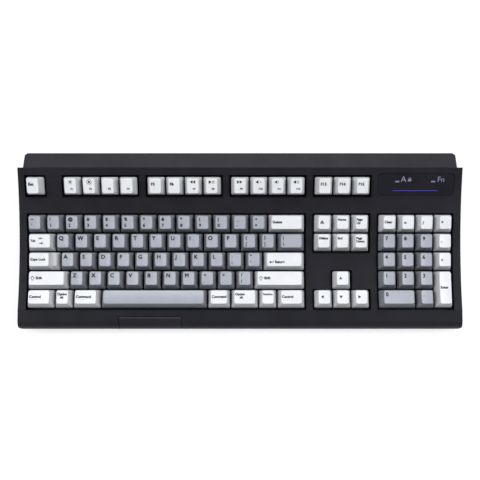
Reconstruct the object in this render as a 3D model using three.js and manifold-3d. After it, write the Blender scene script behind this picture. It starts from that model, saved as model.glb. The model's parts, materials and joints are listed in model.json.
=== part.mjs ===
// Full-size mechanical keyboard, millimetres.
// +X to the typist's right, +Y to the rear, +Z up, origin on the table under the middle of the case.
import * as THREE from 'three';
import { mergeVertices } from 'three/addons/utils/BufferGeometryUtils.js';
import Module from 'manifold-3d';

const wasm = await Module();
wasm.setup();

// ---------- Driving dimensions ----------
const KEY_UNIT = 19.05;
const BOARD_UNITS = 23;
const CASE_WIDTH = 460;
const CASE_DEPTH = 182;
const WALL = 3;
const GAP = 0.3;

// Key tops lie on an arc seen from the side. Each row is turned by ROW_STEP more than the row in front.
const ARC_RADIUS = 330;
const ARC_Y = -42.3;
const ARC_Z = 29.55;
const FRONT_TILT = -3;
const ROW_STEP = 3.3;
const ROW = { bottom: 0, lower: 1, home: 2, upper: 3, number: 4, function: 6 };

// Depths below the key tops, along a row's normal.
const CAP_HEIGHT = 10;
const BEZEL_DROP = 8;
const PLATE_DROP = 14.8;
const PLATE_THICK = 1.6;
const MEMBRANE_DROP = 16.8;
const MEMBRANE_THICK = 0.6;
const BACKPLATE_DROP = 18;
const BACKPLATE_THICK = 1.1;

// Keycap and barrel.
const CAP_BASE_DEPTH = 18.3;
const CAP_GAP = 0.75;
const CAP_TOP_INSET = 3.05;
const CAP_TOP_DEPTH = 14.1;
const FUNCTION_TOP_DEPTH = 15.9;
const CAP_REAR_RUN = 0.2;
const CAP_WALL = 1.3;
const CAP_ROOF = 1.5;
const CAP_CORNER = 1.2;
const STEM_SIZE = 4;
const STEM_LENGTH = 11.2;
const SPACE_BAR = { left: 4, units: 5.75 };
const BARREL_SIZE = 7;
const BARREL_WELL = 4.8;
const BARREL_TOP = 6;
const BARREL_ROOT = 0.9;
const WEB_DEPTH = 5;
const WEB_THICK = 1.2;

// Case, from the side.
const FLOOR_Z = 2;
const SEAM_Z = 11;
const SIDE_DRAFT = 0.12;
const LIP_Z = 22;
const LIP_RADIUS = 9.5;
const OPENING_FRONT = -71.4;
const MAIN_OPENING_REAR = 28.4;
const NAV_OPENING_FRONT = -12.9;
const ARROW_OPENING_REAR = -30;
const ARROW_ROW_REAR = -49.6;
const FUNCTION_OPENING = [44.3, 66.3];
const OPENING_CLEARANCE = 1.55;
const BEZEL_STEPS = 14;
const RIDGE_Y = 73.4;
const SHELF_DROP = 6;
const SHELF_FALL = 2.2;
const SHELF_INSET = 7;
const SHELF_NARROWING = 0.6;
const SHELF_RADIUS = 3;
const STEP_RUN = 0.6;
const CORNER_RADIUS = 5;
const REAR_CORNER_RADIUS = 2;
const SMALLEST_RADIUS = 0.05;

// Sheets under the keys, from row SHEET_START to SHEET_END.
const SHEET_START = -1.1;
const SHEET_END = 6.55;
const SHEET_SIDE = 2.2;
const MEMBRANE_INSET = 1;

// The long wire that keeps the space bar level: a leg on the plate and two arms under the bar.
const WIRE_HALF = 46;
const WIRE_THICK = 1.6;
const WIRE_Y = 6.6;
const WIRE_DROP = 12.7;
const WIRE_TIP_Y = -5;
const WIRE_TIP_DROP = 8.6;
const WIRE_TIP_OUT = 3;
const LUG_WIDTH = 2.7;
const LUG_Y = [-0.9, 1.5];

// Indicator panel: a thin plate let into the bezel at the right of the function row.
const PANEL_LEFT = 140.8;
const PANEL_RIGHT = 219.2;
const PANEL_DEPTH = 23;
const PANEL_CORNER = 2.5;
const PANEL_Y = 1.8;
const PANEL_RECESS = 1.3;
const PANEL_THICK = 0.8;
const LIGHT_X = [160.8, 197.6];
const LIGHT_Y = 4.6;
const LIGHT_SIZE = [4.6, 1.8];
const LIGHT_MARGIN = 0.2;
const INDICATOR_BOARD = { left: 149, right: 208, front: -4, rear: 9, drop: 12.9, thick: 1.2 };

// Blank plate that fills a notch in the front lip.
const PLATE_LEFT = -125;
const PLATE_RIGHT = -59.5;
const PLATE_GAP = 0.7;
const PLATE_REAR = -77.8;

// Screws that hold the two halves of the case together, along the rear.
const SCREW_Y = 81;
const SCREW_X = [-205, 0, 205];
const SCREW_RADIUS = 1.6;
const SCREW_HEAD = 3.2;
const SCREW_HEAD_RECESS = 0.6;
const SCREW_TOP = 22;
const CROSS_LENGTH = 4;
const CROSS_WIDTH = 0.8;
const CROSS_DEPTH = 1.4;
const LOWER_BOSS_RADIUS = 5;
const UPPER_BOSS_RADIUS = 4.5;

// Cut-out in the rear wall and the block that closes it.
const INLET_X = -62;
const INLET_HALF = 8;
const INLET_Z = [13.5, 23.5];
const GLAND_DEPTH = 11;
const GLAND_SETBACK = 0.4;
const FLANGE_SIDE = 2;
const FLANGE_RISE = 1.5;

// Bottom cover.
const FLOOR_THICK = 2.4;
const FLOOR_CHAMFER = 2.5;
const RIB_X = [-110, 20, 110];
const RIB_ROWS = [0.2, 1.2, 2.2, 3.2];
const RIB_HALF = 1;
const RIB_GAP = 0.4;

// Folding feet in pockets under the rear.
const FOOT_X = 165;
const POCKET_HALF = 25;
const POCKET_Y = [47, 87];
const POCKET_TOP = 9.6;
const POCKET_WALL = 2.4;
const POCKET_ROOF = 1.4;
const FOOT_HALF = 24.4;
const FOOT_THICK = 5.4;
const FOOT_LENGTH = 33;
const FOOT_BEVEL = 1;
const FOOT_RIM = 6;
const FOOT_WEB_Z = -0.6;
const FOOT_PIVOT_Y = 51.6;
const FOOT_PIVOT_Z = 5;
const PIN_RADIUS = 1.5;
const PIN_REACH = 1.8;

// Rubber pads: name, centre and half sizes.
const PADS = [
  ['pad_front_left', -190, -76, 12, 5],
  ['pad_front_right', 190, -76, 12, 5],
  ['pad_rear_left', -213, 53, 6, 12],
  ['pad_rear_right', 213, 53, 6, 12],
];
const PAD_TAPER = 0.8;
const PAD_CORNER = 1.5;

// Controller board on the floor of the case, under the number row, and the blocks on it as
// left, right, front, rear (from the board's own corner) and height.
const BOARD_X = [-95, 5];
const BOARD_Y = [38, 66];
const BOARD_Z = 6.5;
const BOARD_THICK = 1.6;
const BOARD_BLOCKS = {
  chip: [35, 60, 8, 18, 4.6],
  memory: [68, 80, 9, 15, 3.6],
  ribbonPlug: [10, 62, 1, 6, 8],
  leadPlug: [10, 26, 20, 26, 7],
};

// How far cutting solids run past the material they cut, and joined ones into each other.
const OVERRUN = 1;
const ROOT = 0.5;

const half = CASE_WIDTH / 2;
const front = -CASE_DEPTH / 2;
const rear = CASE_DEPTH / 2;

// ---------- Materials ----------
function finish(color, roughness, metalness = 0) {
  return new THREE.MeshStandardMaterial({ color, roughness, metalness });
}

const blackPlastic = finish(0x1e1f23, 0.6);
const whiteCap = finish(0xe6e6e8, 0.5);
const greyCap = finish(0x6e7076, 0.5);
const insetPlastic = finish(0x17181b, 0.45);
const boardGreen = finish(0x1f5a3a, 0.5);
const sheetPlastic = finish(0xb9b7a8, 0.4);
const bareSteel = finish(0x9a9da1, 0.35, 1);
const softRubber = finish(0x141414, 0.9);

// ---------- Solid helpers ----------
function solidOf(geometry) {
  const bare = geometry.index ? geometry.toNonIndexed() : geometry.clone();
  bare.deleteAttribute('normal');
  bare.deleteAttribute('uv');
  const merged = mergeVertices(bare, 1e-4);
  const vertProperties = new Float32Array(merged.attributes.position.array);
  const triVerts = new Uint32Array(merged.index.array);
  return new wasm.Manifold(new wasm.Mesh({ numProp: 3, vertProperties, triVerts }));
}

function geometryOf(solid) {
  const mesh = solid.getMesh();
  const geometry = new THREE.BufferGeometry();
  geometry.setAttribute('position', new THREE.BufferAttribute(new Float32Array(mesh.vertProperties), 3));
  geometry.setIndex(new THREE.BufferAttribute(new Uint32Array(mesh.triVerts), 1));
  geometry.computeVertexNormals();
  return geometry;
}

const join = (solids) => solids.reduce((sum, solid) => sum.add(solid));

function box(x0, x1, y0, y1, z0, z1) {
  const geometry = new THREE.BoxGeometry(x1 - x0, y1 - y0, z1 - z0);
  geometry.translate((x0 + x1) / 2, (y0 + y1) / 2, (z0 + z1) / 2);
  return geometry;
}

const boxSolid = (...sides) => solidOf(box(...sides));

// An upright cylinder with flat-sided walls.
function post(x, y, z0, z1, radius, sides = 10) {
  const geometry = new THREE.CylinderGeometry(radius, radius, z1 - z0, sides);
  geometry.rotateX(Math.PI / 2);
  geometry.translate(x, y, (z0 + z1) / 2);
  return solidOf(geometry);
}

// A side outline, drawn as (y, z), swept along X.
function sideExtrusion(outline, x0, x1) {
  const options = { depth: x1 - x0, bevelEnabled: false, curveSegments: 5 };
  const geometry = new THREE.ExtrudeGeometry(outline, options);
  const toSide = new THREE.Matrix4().makeBasis(
    new THREE.Vector3(0, 1, 0),
    new THREE.Vector3(0, 0, 1),
    new THREE.Vector3(1, 0, 0),
  );
  geometry.applyMatrix4(toSide);
  geometry.translate(x0, 0, 0);
  return solidOf(geometry);
}

// A plan outline, drawn as (x, y), raised from z0 to z1.
function planExtrusion(outline, z0, z1) {
  const options = { depth: z1 - z0, bevelEnabled: false, curveSegments: 3 };
  const geometry = new THREE.ExtrudeGeometry(outline, options);
  geometry.translate(0, 0, z0);
  return solidOf(geometry);
}

function polygon(points) {
  return new THREE.Shape(points.map(([a, b]) => new THREE.Vector2(a, b)));
}

// ---------- Rows on the arc ----------
const tiltOf = (row) => THREE.MathUtils.degToRad(FRONT_TILT + ROW_STEP * row);

// A point at a depth below the key-top arc, at an angle along it.
function arcPoint(angle, drop) {
  const radius = ARC_RADIUS + drop;
  return [ARC_Y + radius * Math.sin(angle), ARC_Z + ARC_RADIUS - radius * Math.cos(angle)];
}

// The frame of a key: x across, y to the rear along the row's slope, z along its normal, 0 at the key top.
function rowMatrix(row, x = 0) {
  const tilt = tiltOf(row);
  const [y, z] = arcPoint(tilt, 0);
  return new THREE.Matrix4().makeRotationX(tilt).setPosition(x, y, z);
}

const placed = (geometry, matrix) => solidOf(geometry.applyMatrix4(matrix));
const unitX = (units) => (units - BOARD_UNITS / 2) * KEY_UNIT;
const spaceBarX = unitX(SPACE_BAR.left + SPACE_BAR.units / 2);

// ---------- Keys ----------
// name, row, left edge and key widths in key units, plus length for a key two rows deep.
const KEYS = [
  ['key_escape', 'function', 0, [1], whiteCap],
  ['keys_f1_to_f4', 'function', 2, [1, 1, 1, 1], whiteCap],
  ['keys_f5_to_f8', 'function', 6.5, [1, 1, 1, 1], whiteCap],
  ['keys_f9_to_f12', 'function', 11, [1, 1, 1, 1], whiteCap],
  ['keys_f13_to_f15', 'function', 15.5, [1, 1, 1], whiteCap],
  ['keys_number_left', 'number', 0, [1, 1, 1, 1, 1, 1, 1], greyCap],
  ['keys_number_right', 'number', 7, [1, 1, 1, 1, 1, 1], greyCap],
  ['key_delete', 'number', 13, [2], whiteCap],
  ['keys_nav_upper', 'number', 15.5, [1, 1, 1], whiteCap],
  ['keys_pad_top', 'number', 19, [1, 1, 1, 1], whiteCap],
  ['key_tab', 'upper', 0, [1.5], whiteCap],
  ['keys_upper_left', 'upper', 1.5, [1, 1, 1, 1, 1, 1], greyCap],
  ['keys_upper_right', 'upper', 7.5, [1, 1, 1, 1, 1, 1, 1.5], greyCap],
  ['keys_nav_lower', 'upper', 15.5, [1, 1, 1], whiteCap],
  ['keys_pad_789', 'upper', 19, [1, 1, 1, 1], greyCap],
  ['key_caps_lock', 'home', 0, [1.75], whiteCap],
  ['keys_home_left', 'home', 1.75, [1, 1, 1, 1, 1, 1], greyCap],
  ['keys_home_right', 'home', 7.75, [1, 1, 1, 1, 1], greyCap],
  ['key_return', 'home', 12.75, [2.25], whiteCap],
  ['keys_pad_456', 'home', 19, [1, 1, 1, 1], greyCap],
  ['key_shift_left', 'lower', 0, [2.25], whiteCap],
  ['keys_lower_left', 'lower', 2.25, [1, 1, 1, 1, 1], greyCap],
  ['keys_lower_right', 'lower', 7.25, [1, 1, 1, 1, 1], greyCap],
  ['key_shift_right', 'lower', 12.25, [2.75], whiteCap],
  ['key_arrow_up', 'lower', 16.5, [1], whiteCap],
  ['keys_pad_123', 'lower', 19, [1, 1, 1], greyCap],
  ['key_control_left', 'bottom', 0, [1.5], whiteCap],
  ['key_option_left', 'bottom', 1.5, [1], whiteCap],
  ['key_command_left', 'bottom', 2.5, [1.5], whiteCap],
  ['key_space', 'bottom', SPACE_BAR.left, [SPACE_BAR.units], greyCap],
  ['key_command_right', 'bottom', 9.75, [1.25], whiteCap],
  ['key_option_right', 'bottom', 11, [1.5], whiteCap],
  ['key_function', 'bottom', 12.5, [1], whiteCap],
  ['key_control_right', 'bottom', 13.5, [1.5], whiteCap],
  ['key_arrow_left', 'bottom', 15.5, [1], whiteCap],
  ['key_arrow_down', 'bottom', 16.5, [1], whiteCap],
  ['key_arrow_right', 'bottom', 17.5, [1], whiteCap],
  ['key_pad_zero', 'bottom', 19, [2], greyCap],
  ['key_pad_point', 'bottom', 21, [1], greyCap],
  ['key_pad_enter', 'bottom', 22, [1], whiteCap, 2],
];

// The two-row key sits midway between its rows.
const rowOf = (rowName, length) => ROW[rowName] + (length - 1) / 2;

// A box whose top is smaller than its base and moved along y, like a keycap.
function taperedBlock(outline, height, topScaleX, topScaleY, topShift) {
  const geometry = new THREE.ExtrudeGeometry(outline, { depth: height, bevelEnabled: false });
  const position = geometry.attributes.position;
  for (let i = 0; i < position.count; i += 1) {
    const rise = position.getZ(i) / height;
    position.setX(i, position.getX(i) * (1 + (topScaleX - 1) * rise));
    position.setY(i, position.getY(i) * (1 + (topScaleY - 1) * rise) + topShift * rise);
  }
  geometry.translate(0, 0, -height);
  return geometry;
}

function rectangle(width, depth, corner = 0) {
  const x = width / 2;
  const y = depth / 2;
  if (corner === 0) return polygon([[-x, -y], [x, -y], [x, y], [-x, y]]);
  return polygon([
    [-x + corner, -y], [x - corner, -y], [x, -y + corner], [x, y - corner],
    [x - corner, y], [-x + corner, y], [-x, y - corner], [-x, -y + corner],
  ]);
}

// One hollow cap with its stem, in the key's own frame, moved to x.
function capSolid(x, width, baseDepth, topDepth) {
  const topWidth = width - 2 * CAP_TOP_INSET;
  const shift = (baseDepth - topDepth) / 2 - CAP_REAR_RUN;
  const outer = taperedBlock(
    rectangle(width, baseDepth, CAP_CORNER), CAP_HEIGHT, topWidth / width, topDepth / baseDepth, shift);
  const innerWidth = width - 2 * CAP_WALL;
  const innerDepth = baseDepth - 2 * CAP_WALL;
  const hollow = taperedBlock(
    rectangle(innerWidth, innerDepth), CAP_HEIGHT - CAP_ROOF,
    (topWidth - 2 * CAP_WALL) / innerWidth, (topDepth - 2 * CAP_WALL) / innerDepth, shift);
  hollow.translate(0, 0, -CAP_ROOF);
  const stem = box(-STEM_SIZE / 2, STEM_SIZE / 2, -STEM_SIZE / 2, STEM_SIZE / 2, -STEM_LENGTH, -CAP_ROOF / 2);
  const dx = innerWidth / 2;
  const dy = innerDepth / 2;
  const below = box(-dx, dx, -dy, dy, -CAP_HEIGHT - OVERRUN, -CAP_HEIGHT);
  const cap = solidOf(outer).subtract(solidOf(hollow).add(solidOf(below))).add(solidOf(stem));
  return cap.translate(x, 0, 0);
}

function forEachKey(entry, visit) {
  const [, , left, widths] = entry;
  let edge = left;
  widths.forEach((units) => {
    visit(unitX(edge + units / 2), units * KEY_UNIT - CAP_GAP);
    edge += units;
  });
}

// Neighbouring caps of one run are tied by thin webs at their skirts, so that they press as one.
function keySolid(entry) {
  const [, rowName, left, widths, , length = 1] = entry;
  const topDepth = (rowName === 'function' ? FUNCTION_TOP_DEPTH : CAP_TOP_DEPTH) + (length - 1) * KEY_UNIT;
  const baseDepth = CAP_BASE_DEPTH + (length - 1) * KEY_UNIT;
  const pieces = [];
  forEachKey(entry, (x, width) => pieces.push(capSolid(x, width, baseDepth, topDepth)));
  let edge = left;
  widths.slice(0, -1).forEach((units) => {
    edge += units;
    const reach = CAP_GAP / 2 + CAP_WALL / 2;
    const x = unitX(edge);
    pieces.push(boxSolid(
      x - reach, x + reach, -WEB_DEPTH / 2, WEB_DEPTH / 2, -CAP_HEIGHT, -CAP_HEIGHT + WEB_THICK));
  });
  return join(pieces);
}

// A leg on the plate and an arm with a bent tip at each end.
function spaceBarWire() {
  const r = WIRE_THICK / 2;
  const leg = boxSolid(-WIRE_HALF, WIRE_HALF, WIRE_Y - r, WIRE_Y + r, -WIRE_DROP - r, -WIRE_DROP + r);
  const armOutline = polygon([
    [WIRE_Y + r, -WIRE_DROP - r], [WIRE_Y + r, -WIRE_DROP + r], [WIRE_TIP_Y + r, -WIRE_TIP_DROP + r],
    [WIRE_TIP_Y - r, -WIRE_TIP_DROP + r], [WIRE_TIP_Y - r, -WIRE_TIP_DROP - r], [WIRE_Y - r, -WIRE_DROP - r],
  ]);
  const parts = [leg];
  [-1, 1].forEach((side) => {
    const x = side * (WIRE_HALF - r);
    parts.push(sideExtrusion(armOutline, x - r, x + r));
    const tip = [x, x + side * WIRE_TIP_OUT].sort((a, b) => a - b);
    parts.push(boxSolid(
      tip[0], tip[1], WIRE_TIP_Y - r, WIRE_TIP_Y + r, -WIRE_TIP_DROP - r, -WIRE_TIP_DROP + r));
  });
  return join(parts);
}

// Two lugs under the space bar's roof, just above the wire's tips.
function spaceBarSolid(entry) {
  const lugs = [-1, 1].map((side) => {
    const x = spaceBarX + side * (WIRE_HALF + GAP + LUG_WIDTH / 2);
    const low = -WIRE_TIP_DROP + WIRE_THICK / 2 + GAP;
    return boxSolid(
      x - LUG_WIDTH / 2, x + LUG_WIDTH / 2, WIRE_TIP_Y + LUG_Y[0], WIRE_TIP_Y + LUG_Y[1], low, -CAP_ROOF / 2);
  });
  return keySolid(entry).add(lugs[0]).add(lugs[1]);
}

// ---------- Curved sheets under the keys ----------
// A sheet that follows the arc, flat under each row.
function arcSheet(drop, thickness, x0, x1) {
  const upper = [];
  const lower = [];
  const rows = [SHEET_START, -0.5, 0.5, 1.5, 2.5, 3.5, 4.5, 5.5, SHEET_END];
  rows.forEach((row) => {
    upper.push(arcPoint(tiltOf(row), drop));
    lower.unshift(arcPoint(tiltOf(row), drop + thickness));
  });
  return sideExtrusion(polygon([...lower.reverse(), ...upper.reverse()]), x0, x1);
}

const sheetHalf = (BOARD_UNITS * KEY_UNIT) / 2 + SHEET_SIDE;

function barrelPlate() {
  let plate = arcSheet(PLATE_DROP, PLATE_THICK, -sheetHalf, sheetHalf);
  const wells = [];
  KEYS.forEach((entry) => {
    const [, rowName, , , , length = 1] = entry;
    const row = rowOf(rowName, length);
    forEachKey(entry, (x) => {
      const b = BARREL_SIZE / 2;
      const w = BARREL_WELL / 2;
      plate = plate.add(placed(box(-b, b, -b, b, -PLATE_DROP - BARREL_ROOT, -BARREL_TOP), rowMatrix(row, x)));
      const well = box(-w, w, -w, w, -PLATE_DROP - PLATE_THICK - OVERRUN, -BARREL_TOP + OVERRUN);
      wells.push(placed(well, rowMatrix(row, x)));
    });
  });
  return plate.subtract(join(wells));
}

// ---------- Case ----------
// The bezel's height over any y: it follows the key arc, a fixed distance below the key tops.
function bezelZ(y, drop = BEZEL_DROP) {
  const angle = Math.asin((y - ARC_Y) / (ARC_RADIUS + drop));
  return arcPoint(angle, drop)[1];
}

const ridgeZ = bezelZ(RIDGE_Y);

// The top cover's outline from the side, moved inwards by inset, down to floorZ.
function coverOutline(inset, floorZ) {
  const shape = new THREE.Shape();
  const lipRadius = LIP_RADIUS - inset;
  shape.moveTo(front + inset, floorZ);
  shape.lineTo(front + inset, LIP_Z - LIP_RADIUS);
  shape.absarc(front + LIP_RADIUS, LIP_Z - LIP_RADIUS, lipRadius, Math.PI, Math.PI / 2, true);
  const ridge = RIDGE_Y - inset;
  for (let i = 0; i <= BEZEL_STEPS; i += 1) {
    const y = OPENING_FRONT + (ridge - OPENING_FRONT) * (i / BEZEL_STEPS);
    shape.lineTo(y, bezelZ(y, BEZEL_DROP + inset));
  }
  const shelfZ = ridgeZ - SHELF_DROP - inset;
  shape.lineTo(ridge + STEP_RUN, shelfZ);
  const shelfEnd = rear - SHELF_RADIUS;
  shape.lineTo(shelfEnd, shelfZ - SHELF_FALL);
  const radius = Math.max(SHELF_RADIUS - inset, SMALLEST_RADIUS);
  shape.absarc(shelfEnd, shelfZ - SHELF_FALL - radius, radius, Math.PI / 2, 0, true);
  shape.lineTo(rear - inset, floorZ);
  return shape;
}

// The case from above: nearly square rear corners, rounded front ones, and a narrower rear shelf.
function planOutline(inset) {
  const x = half - inset;
  const shelfX = half - SHELF_INSET - inset;
  const y0 = front + inset;
  const y1 = RIDGE_Y + STEP_RUN - inset;
  const y2 = rear - inset;
  const c = CORNER_RADIUS - inset;
  const r = Math.max(REAR_CORNER_RADIUS - inset, SMALLEST_RADIUS);
  const tailX = shelfX - SHELF_NARROWING;
  const shape = new THREE.Shape();
  shape.moveTo(-x + c, y0);
  shape.lineTo(x - c, y0);
  shape.absarc(x - c, y0 + c, c, -Math.PI / 2, 0, false);
  shape.lineTo(x, y1 - r);
  shape.lineTo(x - r, y1);
  shape.lineTo(shelfX, y1);
  shape.lineTo(tailX, y2 - SHELF_RADIUS);
  shape.lineTo(tailX - SHELF_RADIUS, y2);
  shape.lineTo(-tailX + SHELF_RADIUS, y2);
  shape.lineTo(-tailX, y2 - SHELF_RADIUS);
  shape.lineTo(-shelfX, y1);
  shape.lineTo(-x + r, y1);
  shape.lineTo(-x, y1 - r);
  shape.lineTo(-x, y0 + c);
  shape.absarc(-x + c, y0 + c, c, Math.PI, 1.5 * Math.PI, false);
  return shape;
}

// A block over the whole case whose sides lean inwards above the seam.
function draftedBlock(inset) {
  const x = half - inset;
  const top = ridgeZ + OVERRUN;
  const topX = x - SIDE_DRAFT * (top - SEAM_Z);
  const outline = polygon([[-x, 0], [x, 0], [x, SEAM_Z], [topX, top], [-topX, top], [-x, SEAM_Z]]);
  const geometry = new THREE.ExtrudeGeometry(outline, { depth: CASE_DEPTH, bevelEnabled: false });
  geometry.rotateX(Math.PI / 2);
  geometry.translate(0, rear, 0);
  return solidOf(geometry);
}

// A cut straight down through the bezel, around keys from one unit to another.
function keyOpening(unit0, unit1, y0, y1) {
  const x0 = unitX(unit0) - OPENING_CLEARANCE;
  const x1 = unitX(unit1) + OPENING_CLEARANCE;
  return boxSolid(x0, x1, y0, y1, SEAM_Z + OVERRUN, ridgeZ + OVERRUN);
}

function keyOpenings() {
  const banks = [[0, 1], [2, 6], [6.5, 10.5], [11, 15], [15.5, 18.5]];
  return join([
    ...banks.map(([u0, u1]) => keyOpening(u0, u1, ...FUNCTION_OPENING)),
    keyOpening(0, 15, OPENING_FRONT, MAIN_OPENING_REAR),
    keyOpening(15.5, 18.5, NAV_OPENING_FRONT, MAIN_OPENING_REAR),
    keyOpening(16.5, 17.5, OPENING_FRONT, ARROW_OPENING_REAR),
    keyOpening(15.5, 18.5, OPENING_FRONT, ARROW_ROW_REAR),
    keyOpening(19, 23, OPENING_FRONT, MAIN_OPENING_REAR),
  ]);
}

const panelX = (PANEL_LEFT + PANEL_RIGHT) / 2;
const panelMatrix = () => rowMatrix(ROW.function);

function panelBlock(inset, z0, z1) {
  const width = PANEL_RIGHT - PANEL_LEFT - 2 * inset;
  const outline = rectangle(width, PANEL_DEPTH - 2 * inset, PANEL_CORNER);
  const geometry = new THREE.ExtrudeGeometry(outline, { depth: z1 - z0, bevelEnabled: false });
  geometry.translate(panelX, PANEL_Y, z0);
  return placed(geometry, panelMatrix());
}

function lightHoles(margin, z0, z1) {
  const dx = LIGHT_SIZE[0] / 2 + margin;
  const dy = LIGHT_SIZE[1] / 2 + margin;
  return join(LIGHT_X.map((x) => placed(
    box(x - dx, x + dx, LIGHT_Y - dy, LIGHT_Y + dy, z0, z1), panelMatrix())));
}

function topCover() {
  const inner = sideExtrusion(coverOutline(WALL, SEAM_Z - OVERRUN), -half + WALL, half - WALL)
    .intersect(planExtrusion(planOutline(WALL), 0, ridgeZ))
    .intersect(draftedBlock(WALL));
  const shell = sideExtrusion(coverOutline(0, SEAM_Z), -half, half)
    .intersect(planExtrusion(planOutline(0), 0, ridgeZ + OVERRUN))
    .intersect(draftedBlock(0))
    .subtract(inner);
  const shelfUnder = ridgeZ - SHELF_DROP - SHELF_FALL - OVERRUN;
  const bosses = join(SCREW_X.map((x) => post(x, SCREW_Y, SEAM_Z + GAP, shelfUnder, UPPER_BOSS_RADIUS)));
  const screwHoles = join(SCREW_X.map((x) => post(
    x, SCREW_Y, SEAM_Z - OVERRUN, SCREW_TOP + GAP, SCREW_RADIUS + GAP)));
  const notch = boxSolid(
    PLATE_LEFT, PLATE_RIGHT, front - OVERRUN, PLATE_REAR, SEAM_Z - OVERRUN, LIP_Z + OVERRUN);
  const inlet = boxSolid(
    INLET_X - INLET_HALF, INLET_X + INLET_HALF, rear - WALL - OVERRUN, rear + OVERRUN, ...INLET_Z);
  return shell
    .add(bosses)
    .subtract(screwHoles)
    .subtract(keyOpenings())
    .subtract(panelBlock(0, -BEZEL_DROP - PANEL_RECESS, -BEZEL_DROP + WALL))
    .subtract(lightHoles(OVERRUN, -BEZEL_DROP - 2 * WALL, -BEZEL_DROP))
    .subtract(notch)
    .subtract(inlet);
}

function frontBlankPlate() {
  const x0 = PLATE_LEFT + PLATE_GAP;
  const x1 = PLATE_RIGHT - PLATE_GAP;
  const skin = sideExtrusion(coverOutline(0, SEAM_Z), x0, x1)
    .subtract(sideExtrusion(coverOutline(WALL, SEAM_Z - OVERRUN), x0 - OVERRUN, x1 + OVERRUN));
  return skin.intersect(boxSolid(x0, x1, front - OVERRUN, PLATE_REAR - PLATE_GAP, 0, LIP_Z + OVERRUN));
}

function indicatorPanel() {
  const z0 = -BEZEL_DROP - PANEL_RECESS + GAP;
  const z1 = z0 + PANEL_THICK;
  return panelBlock(GAP, z0, z1).subtract(lightHoles(0, z0 - OVERRUN, z1 + OVERRUN));
}

function indicatorBoard() {
  const b = INDICATOR_BOARD;
  const board = placed(box(b.left, b.right, b.front, b.rear, -b.drop, -b.drop + b.thick), panelMatrix());
  const lights = lightHoles(-LIGHT_MARGIN, -b.drop + b.thick - ROOT, -BEZEL_DROP - PANEL_RECESS);
  return board.add(lights);
}

// ---------- Bottom cover, feet and pads ----------
const SIDES = [-1, 1];

function axleAcross(x0, x1, y, z, radius) {
  const geometry = new THREE.CylinderGeometry(radius, radius, x1 - x0, 10);
  geometry.rotateZ(Math.PI / 2);
  geometry.translate((x0 + x1) / 2, y, z);
  return solidOf(geometry);
}

function bottomCover() {
  const seam = SEAM_Z - GAP;
  const side = polygon([
    [front + FLOOR_CHAMFER, FLOOR_Z], [rear - FLOOR_CHAMFER, FLOOR_Z], [rear, FLOOR_Z + FLOOR_CHAMFER],
    [rear, seam], [front, seam], [front, FLOOR_Z + FLOOR_CHAMFER],
  ]);
  const floorTop = FLOOR_Z + FLOOR_THICK;
  let cover = sideExtrusion(side, -half, half)
    .intersect(planExtrusion(planOutline(0), 0, SEAM_Z))
    .subtract(planExtrusion(planOutline(WALL), floorTop, SEAM_Z));
  SIDES.forEach((sign) => {
    const x = sign * FOOT_X;
    cover = cover.add(boxSolid(
      x - POCKET_HALF - POCKET_WALL, x + POCKET_HALF + POCKET_WALL,
      POCKET_Y[0] - POCKET_WALL, POCKET_Y[1], FLOOR_Z + ROOT, POCKET_TOP + POCKET_ROOF));
  });
  RIB_X.forEach((x) => {
    const top = RIB_ROWS.map((row) => arcPoint(tiltOf(row), BACKPLATE_DROP + BACKPLATE_THICK + RIB_GAP));
    const low = floorTop - ROOT;
    const outline = polygon([[top[0][0], low], [top.at(-1)[0], low], ...top.reverse()]);
    cover = cover.add(sideExtrusion(outline, x - RIB_HALF, x + RIB_HALF));
  });
  SCREW_X.forEach((x) => {
    cover = cover.add(post(x, SCREW_Y, FLOOR_Z + ROOT, SEAM_Z - GAP, LOWER_BOSS_RADIUS));
  });
  SIDES.forEach((sign) => {
    const x = sign * FOOT_X;
    cover = cover
      .subtract(boxSolid(
        x - POCKET_HALF, x + POCKET_HALF, POCKET_Y[0], POCKET_Y[1] - POCKET_WALL,
        FLOOR_Z - OVERRUN, POCKET_TOP))
      .subtract(axleAcross(
        x - POCKET_HALF - PIN_REACH, x + POCKET_HALF + PIN_REACH, FOOT_PIVOT_Y, FOOT_PIVOT_Z,
        PIN_RADIUS + 2 * GAP));
  });
  SCREW_X.forEach((x) => {
    cover = cover
      .subtract(post(x, SCREW_Y, FLOOR_Z - OVERRUN, SEAM_Z + OVERRUN, SCREW_RADIUS + GAP))
      .subtract(post(x, SCREW_Y, FLOOR_Z - OVERRUN, FLOOR_Z + FLOOR_THICK + GAP, SCREW_HEAD + GAP));
  });
  return cover;
}

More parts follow.
